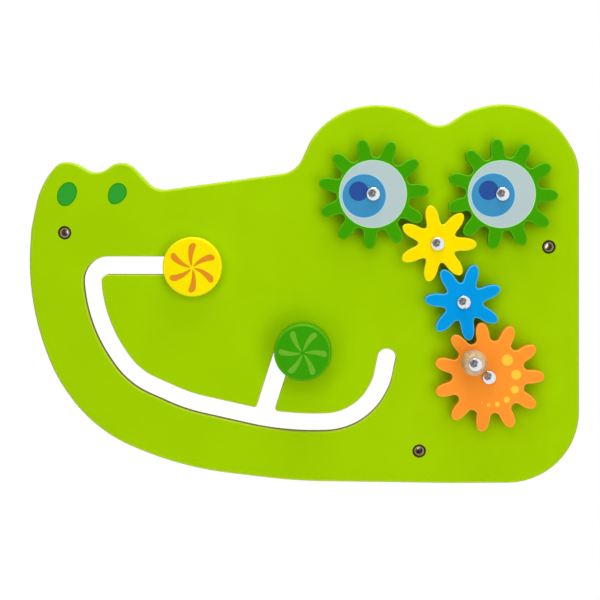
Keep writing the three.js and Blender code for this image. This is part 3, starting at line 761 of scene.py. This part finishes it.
def wheel_outline(form, angle, axis):
    """A toothed wheel's edge, clockwise. A tooth is half a blunt ellipse, its cosine and sine
    raised to a power, on two level flanks. A cubic curve that leaves each flank level makes the
    valley."""
    teeth, bluntness, shares = form
    tip, root, widest, foot, half_width = np.array(shares) * TOOTH_MODULE
    power, length = 2 / bluntness, tip - widest
    a = np.linspace(-np.pi / 2, np.pi / 2, 2 * FLANK_STEPS + 1)
    cos, sin, side = np.cos(a).clip(0), abs(np.sin(a)), np.sign(np.sin(a))
    spot = np.stack([widest + length * cos ** power, half_width * side * sin ** power], 1)
    rest = 2 - power
    along = np.stack([-length * side * sin ** rest, half_width * cos ** rest], 1)
    along /= np.linalg.norm(along, axis=1, keepdims=True)
    spot = np.vstack([(foot, -half_width), spot, (foot, half_width)])
    along = np.vstack([(1, 0), along, (-1, 0)])
    pitch = 2 * np.pi / teeth
    turn = np.array([(np.cos(pitch), np.sin(pitch)), (-np.sin(pitch), np.cos(pitch))])
    foot_reach = foot * np.cos(pitch / 2) + half_width * np.sin(pitch / 2)
    inner = foot - (foot_reach - root) / (CUBIC_PULL * np.cos(pitch / 2))
    knots = np.array([(foot, half_width), (inner, half_width),
                      (inner, -half_width), (foot, -half_width)])
    knots[2:] = knots[2:] @ turn
    t = np.linspace(0, 1, VALLEY_STEPS + 2)[1:-1, None]
    weights = np.concatenate([(1 - t) ** 3, 3 * (1 - t) ** 2 * t, 3 * (1 - t) * t ** 2, t ** 3], 1)
    slopes = np.concatenate([(1 - t) ** 2, 2 * (1 - t) * t, t ** 2], 1) @ np.diff(knots, axis=0)
    slopes /= np.linalg.norm(slopes, axis=1, keepdims=True)
    run = np.concatenate([np.vstack([spot, weights @ knots]), np.vstack([along, slopes])], 1)
    turns = angle + pitch * np.arange(teeth)[:, None]
    cos, sin = np.cos(turns), np.sin(turns)
    x, z, dx, dz = run.T
    parts = [x * cos - z * sin, x * sin + z * cos, dx * cos - dz * sin, dx * sin + dz * cos]
    whole = np.stack(parts, -1).reshape(-1, 4)
    whole[:, :2] += axis
    return backwards(whole)


def disc(axis, x, z, radius):
    """How far inside a printed disc a spot lies, from its place on a wheel in millimetres."""
    return lambda finish: radius * MM - finish.away(axis[0] + x * MM, axis[1] + z * MM)


def add_wheel(name, body, finish, form, bores=()):
    """Adds a wheel in the place of its node, turned as it rests, with its bores."""
    node = f"{name}_gear"
    low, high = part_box(node)
    loops = [wheel_outline(form, np.radians(REST_TURNS[name]), axles[name])]
    for place in (axles[name], *bores):
        loops.append(round_hole(place, PIN_RADIUS + HOLE_PLAY))
    edges = [WHEEL_EDGE, *[HOLE_EDGE] * (len(loops) - 1)]
    points, normals, faces, walls = board_shape(loops, edges, -high[1], -low[1])
    wheel = add_mesh(f"{name}_wheel", points, normals, faces, [finish])
    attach(wheel, body)
    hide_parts(node)


WHEEL_FRONT = -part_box("yellow_gear")[0][1]
for name, discs in (("left_eye", LEFT_EYE), ("right_eye", RIGHT_EYE)):
    white, iris, pupil = (disc(axles[name], *size) for size in discs)
    eye = lacquer(f"{name}_lacquer", LEAF, LEAF_EDGE_SHEEN, (
        (WHITE_RIM, lambda finish, white=white: white(finish) + WHITE_RIM_OUT),
        (EYE_WHITE, lambda finish, white=white: white(finish) - WHITE_RIM_IN),
        (IRIS_RIM, lambda finish, iris=iris: iris(finish) + IRIS_RIM_OUT),
        (IRIS_BLUE, lambda finish, iris=iris: iris(finish) - IRIS_RIM_IN),
        (PUPIL_BLUE, pupil),
    ), WHEEL_FRONT)
    add_wheel(name, f"{name}_wheel", eye, LARGE_WHEEL)
yellow = lacquer("yellow_lacquer", YELLOW, YELLOW_EDGE_SHEEN)
add_wheel("yellow", "yellow_wheel", yellow, SMALL_WHEEL)
blue = lacquer("blue_lacquer", BLUE, BLUE_EDGE_SHEEN)
add_wheel("blue", "blue_wheel", blue, SMALL_WHEEL)
dots = [(DOT_YELLOW, disc(axles["orange"], *size)) for size in DOTS]
orange = lacquer("orange_lacquer", ORANGE, ORANGE_EDGE_SHEEN, dots, WHEEL_FRONT)
crank_axis = axis_of("crank_knob")
add_wheel("orange", "crank_wheel", orange, LARGE_WHEEL, [crank_axis])

# The crank. A headed steel pin stands in the orange wheel, and on it turns a knob that is turned
# from beech, between a washer and a chromed cap.
KNOB_HEIGHT = 26 * MM
KNOB_BASE = 9.6 * MM
KNOB_RADIUS = 11.4 * MM
KNOB_TOP = 6.9 * MM
KNOB_WIDEST = 16.1 * MM
KNOB_FOOT = 0.8 * MM
KNOB_SEAM = 1.5 * MM
# The curve below the widest place ends at an angle, round a centre that lies in from the base
WAIST_ANGLE = np.radians(-58)
WAIST_CENTRE = KNOB_BASE - 2 * MM
KNOB_BORE = PIN_RADIUS + HOLE_PLAY
KNOB_TONES = (paint(226, 192, 154), paint(194, 158, 118))
KNOB_FLECK_SIZE = 1.8 * MM
PIN_HEAD_RADIUS = 6 * MM
PIN_HEAD_HEIGHT = 1.5 * MM
CRANK_WASHER_RADIUS = 8 * MM

length = depth_of("crank_pin")
crank_pin_profile = rounded(np.array([
    (0, length),
    (PIN_RADIUS, length),
    (PIN_RADIUS, PIN_HEAD_HEIGHT),
    (PIN_HEAD_RADIUS, PIN_HEAD_HEIGHT),
    (PIN_HEAD_RADIUS, 0),
    (0, 0),
]), np.array([0, 0.5, 0.2, 0.3, 0.4, 0]) * MM)
add_turned("crank_headed_pin", "crank_wheel", steel, crank_pin_profile, "crank_pin")
washer_profile = ring_profile(
    PIN_RADIUS + HOLE_PLAY, CRANK_WASHER_RADIUS, depth_of("crank_washer"), WASHER_EDGE)
add_turned("crank_steel_washer", "crank_wheel", steel, washer_profile, "crank_washer")
add_turned("crank_chrome_cap", "crank_wheel", chrome, cap_profile, "crank_cap")
knob_profile = np.vstack([
    rounded(np.array([
        (KNOB_BORE, KNOB_SEAM),
        (KNOB_BORE, KNOB_HEIGHT),
        (KNOB_TOP, KNOB_HEIGHT),
    ]), np.array([0, 0.3, 0]) * MM),
    quarter_round((KNOB_TOP, KNOB_WIDEST), KNOB_RADIUS - KNOB_TOP, KNOB_HEIGHT - KNOB_WIDEST,
                  np.pi / 2, 0)[1:],
    quarter_round((WAIST_CENTRE, KNOB_WIDEST), KNOB_RADIUS - WAIST_CENTRE,
                  (KNOB_WIDEST - KNOB_FOOT) / np.sin(-WAIST_ANGLE), 0, WAIST_ANGLE)[1:],
    rounded(np.array([
        (KNOB_BASE - 0.1 * MM, KNOB_FOOT),
        (KNOB_BASE - 0.5 * MM, 0),
        (KNOB_BORE, 0),
        (KNOB_BORE, KNOB_SEAM),
    ]), np.array([0, 0.4, 0.3, 0]) * MM)[1:-1],
])
knob_beech = beech("knob_beech", 1, KNOB_TONES, KNOB_FLECK_SIZE)
add_turned("turned_crank_knob", "crank_handle", knob_beech, knob_profile, "crank_knob")

# The two knobs in the slot. A lacquered disc sits on a beech spindle that passes the slot, and a
# beech disc behind the board, screwed to the spindle over a washer, keeps it in. A pinwheel is
# printed on each.
SPINDLE_RADIUS = 7.5 * MM
SOCKET_RADIUS = 7.8 * MM
SOCKET_DEPTH = 6 * MM
GUIDE_RADIUS = 22 * MM
GUIDE_EDGE = 2 * MM
SCREW_RADIUS = 2 * MM
SCREW_POINT = 3 * MM
SCREW_HEAD_RADIUS = 4 * MM
SCREW_HEAD_HEIGHT = 2.4 * MM
SCREW_HEAD_RIM = 0.5 * MM
PILOT_RADIUS = 2.3 * MM
PILOT_DEPTH = 15.3 * MM
SLIDER_WASHER_RADIUS = 10 * MM
# Radius, thickness and edge radius of the two discs
YELLOW_DISC = (27 * MM, 10 * MM, 2 * MM)
GREEN_DISC = (25.9 * MM, 24 * MM, 2.5 * MM)
# Pinwheels: how far below the disc's middle they sit, the reach of a petal's head, half the widths
# of its head and tail, the first petal's angle in degrees, and how far one turns per millimetre
YELLOW_PINWHEEL = (0.68 * MM, 19.4 * MM, 3.1 * MM, 0.4 * MM, 107, 0.91)
GREEN_PINWHEEL = (0.21 * MM, 19 * MM, 2.75 * MM, 0.4 * MM, 10.5, 0.66)
PETALS = 6
PETAL_TAIL = 2.2 * MM
PETAL_GROWTH = 0.75
PETAL_RIM = 0.45 * MM


def petals(axis, drop, head, head_half, tail_half, first, swirl):
    """How far inside one of six curved petals a spot lies. A petal's middle line leaves the first
    angle and turns back evenly with the radius. Its half width grows from the tail to the round
    head with a power of the way between them."""
    def inside(finish):
        x, z = finish.x - axis[0], finish.z - (axis[1] - drop)
        radius = (x * x + z * z) ** 0.5
        lag = z.maths("ARCTAN2", x) - np.radians(first) + radius * (np.radians(swirl) / MM)
        side = radius * lag.maths("WRAP", np.pi / PETALS, -np.pi / PETALS)
        held = radius.maths("MAXIMUM", PETAL_TAIL).maths("MINIMUM", head)
        grown = ((held - PETAL_TAIL) / (head - PETAL_TAIL)) ** PETAL_GROWTH
        past = radius - held
        return tail_half + grown * (head_half - tail_half) - (past * past + side * side) ** 0.5
    return inside


def disc_profile(radius, thickness, edge):
    """A knob's section: a disc with rounded edges and a blind socket in its back."""
    return rounded(np.array([
        (0, thickness),
        (radius, thickness),
        (radius, 0),
        (SOCKET_RADIUS, 0),
        (SOCKET_RADIUS, SOCKET_DEPTH),
        (0, SOCKET_DEPTH),
    ]), np.array([0, edge, edge, 0.4 * MM, 0.4 * MM, 0]))


spindle_beech = beech("spindle_beech", 1)
guide_beech = beech("guide_beech", 0)
yellow_petals = petals(axis_of("yellow_slider_disc"), *YELLOW_PINWHEEL)
# Each knob's second lacquer colour is a painted sheen on its rounded edge
yellow_knob = lacquer("yellow_knob_lacquer", paint(252, 228, 2), paint(250, 232, 16), (
    (paint(200, 140, 10), yellow_petals),
    (paint(226, 135, 40), lambda finish: yellow_petals(finish) - PETAL_RIM),
), -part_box("yellow_slider_disc")[0][1], POLISHED)
green_petals = petals(axis_of("green_slider_disc"), *GREEN_PINWHEEL)
green_knob = lacquer("green_knob_lacquer", paint(54, 154, 6), paint(88, 164, 12), (
    (paint(106, 174, 45), green_petals),
), -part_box("green_slider_disc")[0][1], POLISHED)
for name, finish, slot, size in (
    ("yellow", yellow_knob, "yellow_lacquer", YELLOW_DISC),
    ("green", green_knob, "leaf_lacquer", GREEN_DISC),
):
    node = f"{name}_slider"
    body = f"{name}_knob"
    length = depth_of(f"{node}_spindle")
    spindle_profile = rounded(np.array([
        (0, length),
        (SPINDLE_RADIUS, length),
        (SPINDLE_RADIUS, 0),
        (PILOT_RADIUS, 0),
        (PILOT_RADIUS, PILOT_DEPTH),
        (0, PILOT_DEPTH),
    ]), np.array([0, 0.6, 0.6, 0.3, 0.3, 0]) * MM)
    thickness = depth_of(f"{node}_guide_disc")
    guide_profile = rounded(np.array([
        (SOCKET_RADIUS, 0),
        (SOCKET_RADIUS, thickness),
        (GUIDE_RADIUS, thickness),
        (GUIDE_RADIUS, 0),
    ]), np.array([0.4 * MM, 0.4 * MM, GUIDE_EDGE, GUIDE_EDGE]), True)
    washer_profile = ring_profile(
        PILOT_RADIUS, SLIDER_WASHER_RADIUS, depth_of(f"{node}_washer"), WASHER_EDGE)
    length = depth_of(f"{node}_screw")
    screw_profile = np.vstack([
        rounded(np.array([
            (0, length),
            (SCREW_RADIUS, length - SCREW_POINT),
            (SCREW_RADIUS, SCREW_HEAD_HEIGHT),
            (SCREW_HEAD_RADIUS, SCREW_HEAD_HEIGHT),
            (SCREW_HEAD_RADIUS, SCREW_HEAD_HEIGHT - SCREW_HEAD_RIM),
        ]), np.array([0, 0.5, 0.2, 0.2, 0]) * MM),
        quarter_round((0, SCREW_HEAD_HEIGHT - SCREW_HEAD_RIM), SCREW_HEAD_RADIUS,
                      SCREW_HEAD_HEIGHT - SCREW_HEAD_RIM, 0, -np.pi / 2, 12)[1:],
    ])
    add_turned(f"{name}_knob_disc", body, finish, disc_profile(*size), f"{node}_disc")
    add_turned(
        f"{name}_knob_spindle", body, spindle_beech, spindle_profile, f"{node}_spindle")
    add_turned(
        f"{name}_knob_guide", node, guide_beech, guide_profile, f"{node}_guide_disc")
    add_turned(f"{name}_knob_washer", body, steel, washer_profile, f"{node}_washer")
    add_turned(f"{name}_knob_screw", body, steel, screw_profile, f"{node}_screw")

# The studio. A white surround, a ring of soft lamps round the camera that is strongest at the
# right, one lamp overhead that the lacquer mirrors, two behind, a pale floor well below the panel,
# and the camera where the photograph was taken from.
FLOOR_DROP = 0.55
FLOOR_RADIUS = 0.8
FLOOR_RINGS, FLOOR_CORNERS = 12, 96
FLOOR_MIDDLE = 0.02
FLOOR_FADE = 0.55 * FLOOR_RADIUS
FLOOR_GRAIN = 30 * MM
SURROUND = 0.12
# The ring's lamps, clockwise from the top one: their shares of its power
RING_SHARES = (0.17, 0.13, 0.165, 0.18, 0.06, 0.055, 0.12, 0.12)
RING_POWER = 34.6
RING_DISTANCE = 1.9
RING_ANGLE = np.radians(36)
LAMP_SIZE = 0.8
REAR_LAMPS = (Vector((-0.7, 1.6, 0.9)), Vector((0.7, 1.6, 0.9)))
REAR_POWER = 18
OVERHEAD_LAMP = Vector((0.1, -0.2, 1.3))
OVERHEAD_POWER = 14
CARD_DISTANCE = 1.9
CARD_RADIUS = 2.6
CARD_CORNERS = 48
CARD_AZIMUTH, CARD_RISE = np.radians(-14), np.radians(11)
# The card's edge fades out raggedly, so that the dark patch it puts in mirroring surfaces has soft
# edges: the size of its tatters, and how far they reach in and out
TATTER_SIZE = 0.9
TATTER_REACH = 2.2
CARD_FADE_START, CARD_FADE_END = 0.5 * CARD_RADIUS, 0.95 * CARD_RADIUS
CARD_TONE_SIZE = 0.5
CARD_HOLE_SIZE = 0.6
CARD_HOLE_DEPTH = 0.35
AIM = Vector((-3.6, -32, 38.95)) * MM
DISTANCE = 1.5
AZIMUTH, RISE = np.radians(1.4), np.radians(3.3)
LENS = 99
SENSOR_WIDTH = 36
SHIFT_UP = -0.08

scene = bpy.context.scene
scene.view_settings.view_transform = "Standard"
world = bpy.data.worlds.new("white_surround")
world.use_nodes = True
scene.world = world
tree = world.node_tree
dim = tree.nodes["Background"]
dim.inputs["Color"].default_value = (1, 1, 1, 1)
dim.inputs["Strength"].default_value = SURROUND
white = tree.nodes.new("ShaderNodeBackground")
white.inputs["Color"].default_value = (1, 1, 1, 1)
# The surround lights the panel dimly, and is white where it is seen, mirrored or seen through
ray = tree.nodes.new("ShaderNodeLightPath")
seen = ray.outputs["Is Camera Ray"]
for kind in ("Is Glossy Ray", "Is Transmission Ray"):
    either = tree.nodes.new("ShaderNodeMath")
    either.operation = "MAXIMUM"
    tree.links.new(seen, either.inputs[0])
    tree.links.new(ray.outputs[kind], either.inputs[1])
    seen = either.outputs[0]
choice = tree.nodes.new("ShaderNodeMixShader")
for i, socket in enumerate((seen, dim.outputs[0], white.outputs[0])):
    tree.links.new(socket, choice.inputs[i])
tree.links.new(choice.outputs[0], tree.nodes["World Output"].inputs["Surface"])

lamps = [("rear_lamp", REAR_POWER, place) for place in REAR_LAMPS]
lamps.append(("overhead_lamp", OVERHEAD_POWER, OVERHEAD_LAMP))
out, ahead = np.sin(RING_ANGLE), np.cos(RING_ANGLE)
for i, share in enumerate(RING_SHARES):
    turn = 2 * np.pi * i / len(RING_SHARES)
    place = Vector((out * np.sin(turn), -ahead, out * np.cos(turn))) * RING_DISTANCE
    lamps.append(("ring_lamp", RING_POWER * share, place))
for name, power, place in lamps:
    lamp = bpy.data.objects.new(name, bpy.data.lights.new(name, "AREA"))
    lamp.data.energy = power
    lamp.data.size = LAMP_SIZE
    lamp.location = place
    lamp.visible_glossy = name == "overhead_lamp"
    lamp.rotation_euler = (-place).to_track_quat("-Z", "Y").to_euler()
    scene.collection.objects.link(lamp)


def towards(azimuth, rise):
    """The direction of a place in front of the panel: azimuth to the right, rise up."""
    return np.array([
        np.sin(azimuth) * np.cos(rise), -np.cos(azimuth) * np.cos(rise), np.sin(rise)])


# A grey card behind the camera, as a photographer's flag, seen only where something mirrors it
facing = towards(CARD_AZIMUTH, CARD_RISE)
middle = facing * CARD_DISTANCE
sideways = np.array([np.cos(CARD_AZIMUTH), np.sin(CARD_AZIMUTH), 0])
upwards = np.cross(sideways, facing)
turn = np.linspace(0, 2 * np.pi, CARD_CORNERS, endpoint=False)[:, None]
card_edge = middle + CARD_RADIUS * (np.cos(turn) * sideways + np.sin(turn) * upwards)
card_mesh = bpy.data.meshes.new("grey_card")
card_mesh.from_pydata(card_edge.tolist(), [], [tuple(range(len(card_edge)))])
card = bpy.data.objects.new("grey_card", card_mesh)
scene.collection.objects.link(card)
felt = Finish("grey_felt", {"Specular IOR Level": 0})
off_middle = felt.node(
    "VectorMath", {"operation": "DISTANCE"}, {0: felt.place, 1: middle.tolist()}, "Value")
ragged = off_middle + (felt.noise(TATTER_SIZE, 1) - 0.5) * TATTER_REACH
# See-through blotches make lighter spots in the dark patch the card puts in the chrome
holes = felt.noise(CARD_HOLE_SIZE).step(0.5, 0.62) * CARD_HOLE_DEPTH
tone = felt.noise(CARD_TONE_SIZE)
card_mesh.materials.append(felt.feed({
    "Base Color": felt.mix(tone, (0.03, 0.03, 0.035, 1), (0.5, 0.5, 0.51, 1)),
    "Alpha": (1 - ragged.step(CARD_FADE_START, CARD_FADE_END)) * (1 - holes),
}))
for kind in ("camera", "diffuse", "transmission", "volume_scatter", "shadow"):
    setattr(card, f"visible_{kind}", False)

angle = np.linspace(0, 2 * np.pi, FLOOR_CORNERS, endpoint=False)
radii = np.linspace(FLOOR_MIDDLE, 1, FLOOR_RINGS) * FLOOR_RADIUS
floor_points = np.stack([
    radii[:, None] * np.cos(angle),
    radii[:, None] * np.sin(angle),
    np.full((len(radii), len(angle)), -FLOOR_DROP),
], -1).reshape(-1, 3)
floor_faces = [*grid_faces(len(radii), len(angle), 0, False).tolist(), list(range(len(angle)))]
floor_mesh = bpy.data.meshes.new("floor")
floor_mesh.from_pydata(floor_points.tolist(), [], floor_faces)
floor = bpy.data.objects.new("floor", floor_mesh)
scene.collection.objects.link(floor)
pale = Finish("pale_floor", {"Specular IOR Level": 0.1})
grain = pale.noise(FLOOR_GRAIN, 3)
from_middle = (pale.x * pale.x + pale.y * pale.y) ** 0.5
floor_mesh.materials.append(pale.feed({
    "Base Color": pale.mix(grain, (0.83, 0.83, 0.83, 1), (0.86, 0.86, 0.86, 1)),
    "Roughness": 0.7 + grain * 0.1,
    "Alpha": 1 - from_middle.step(FLOOR_FADE, FLOOR_RADIUS),
}))

view = Vector(towards(AZIMUTH, RISE))
camera = bpy.data.objects.new("camera", bpy.data.cameras.new("camera"))
camera.data.lens = LENS
camera.data.sensor_width = SENSOR_WIDTH
camera.data.shift_y = SHIFT_UP
camera.location = AIM + view * DISTANCE
camera.rotation_euler = (-view).to_track_quat("-Z", "Y").to_euler()
scene.collection.objects.link(camera)
scene.camera = camera
